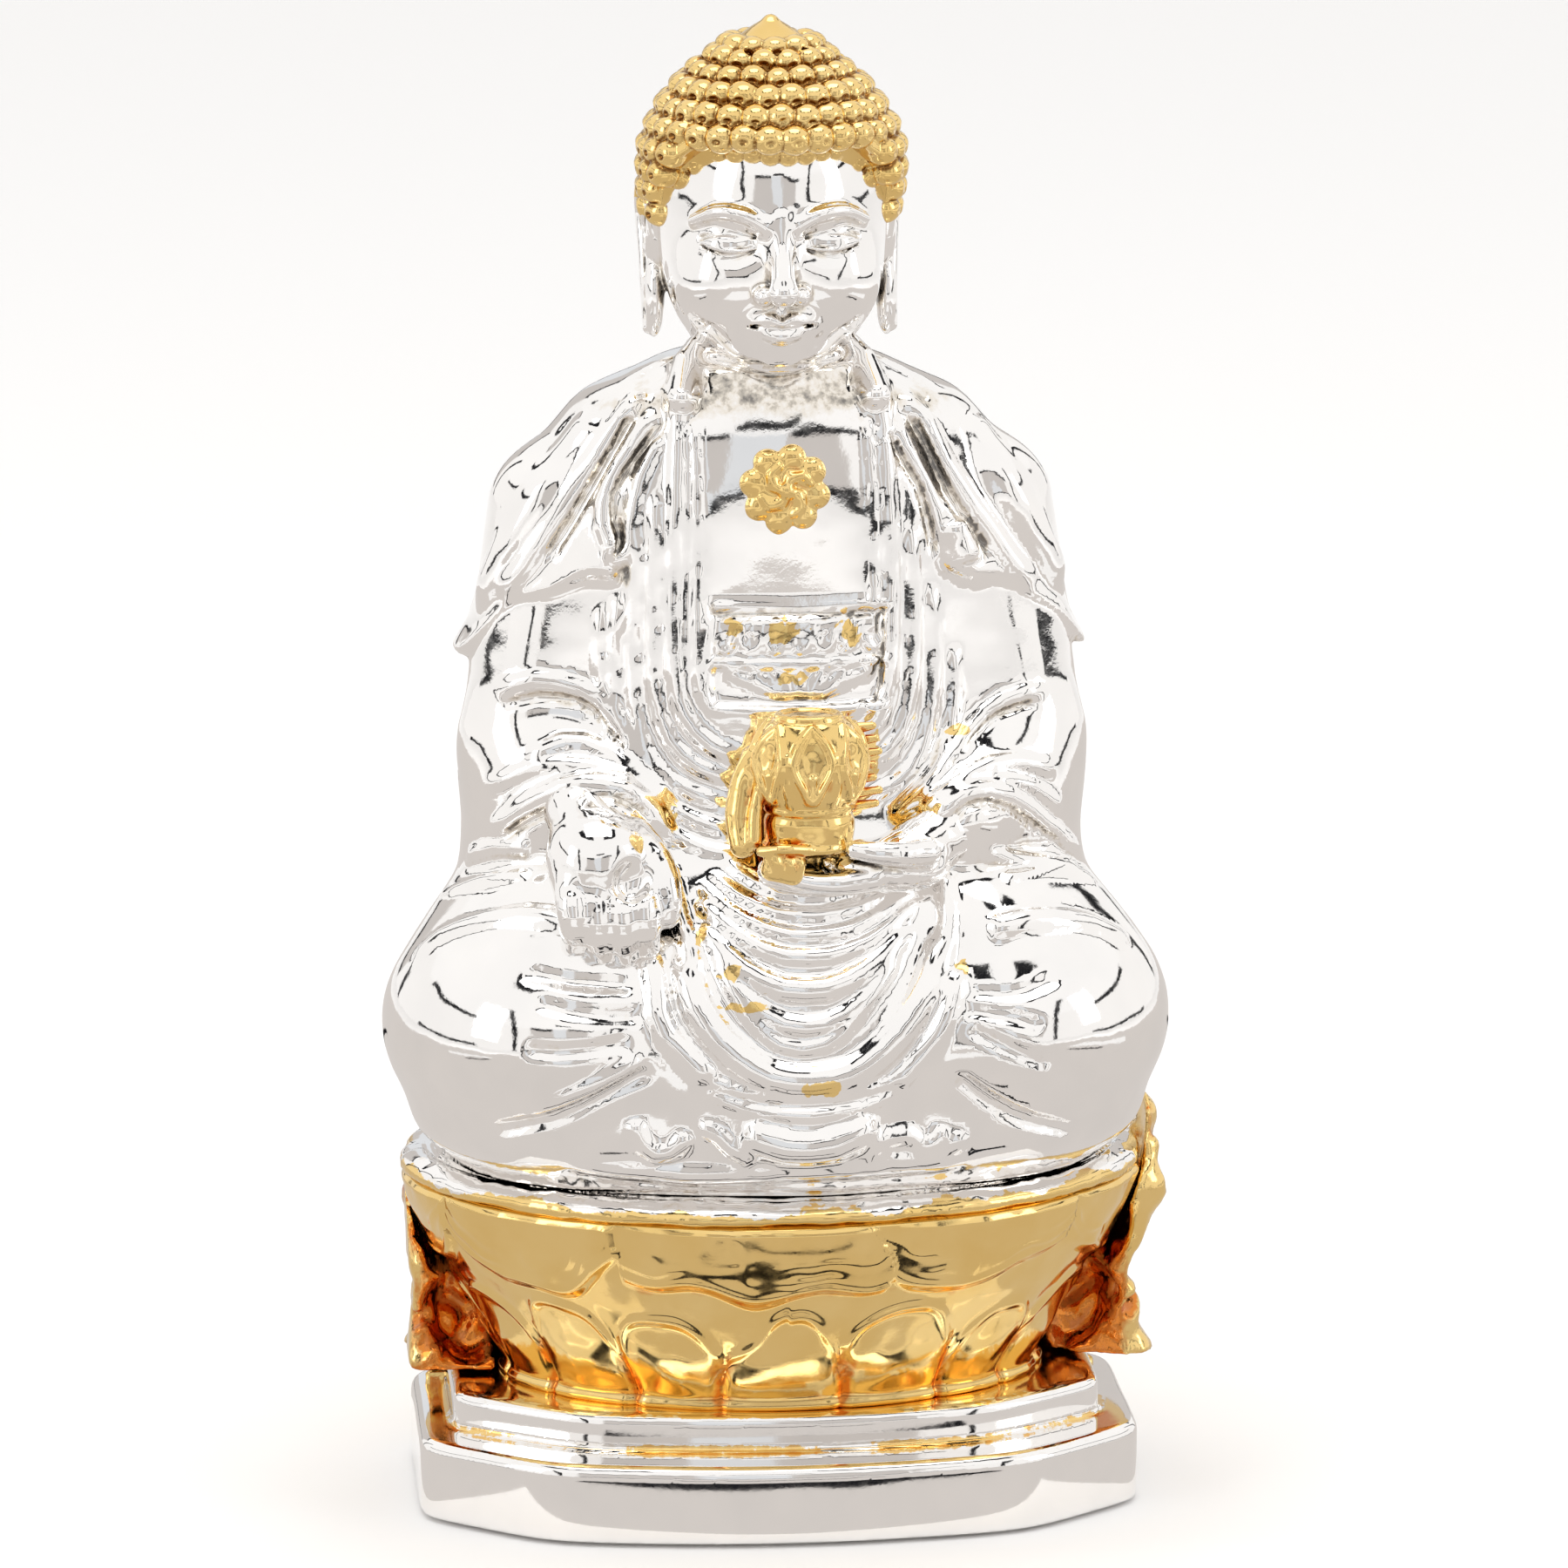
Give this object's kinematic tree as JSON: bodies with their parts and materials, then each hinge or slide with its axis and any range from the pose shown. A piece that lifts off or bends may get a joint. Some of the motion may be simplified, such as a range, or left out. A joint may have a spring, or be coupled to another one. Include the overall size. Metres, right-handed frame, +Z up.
{
  "type": "seated buddha statue",
  "caption": "Seated robed Buddha holding a jar, on a lotus throne and stepped plinth with a low back screen; silver plated with gold plated hair, throne and screen.",
  "frame": {"origin": "on the resting surface, under the middle of the statue's bounding box", "axes": "+Z up; the figure faces -Y; +X is to the right seen from the front"},
  "size_m": [0.0791, 0.0556, 0.15],
  "materials": {
    "silver_plate": "mirror silver plating over cast resin",
    "gold_plate": "mirror gold plating over cast resin",
    "felt": "short-pile felt",
    "dowel_wood": "plain hardwood",
    "steel": "plain steel",
    "brass_insert": "turned brass"
  },
  "bodies": {
    "root": {"felt_pad": "felt", "plinth": "silver_plate", "lotus_throne": "gold_plate", "throne_seat": "silver_plate", "back_screen": "gold_plate", "figure_body": "silver_plate", "head": "silver_plate", "neck_dowel": "dowel_wood", "hair_cap": "gold_plate", "right_hand": "silver_plate", "left_hand": "silver_plate", "hand_dowels": "steel", "treasure_jar": "gold_plate", "chest_roundel": "gold_plate", "screen_pins": "steel", "throne_pins": "steel", "tie_washer": "steel", "tie_screw": "steel", "threaded_insert": "brass_insert"}
  },
  "joints": []
}
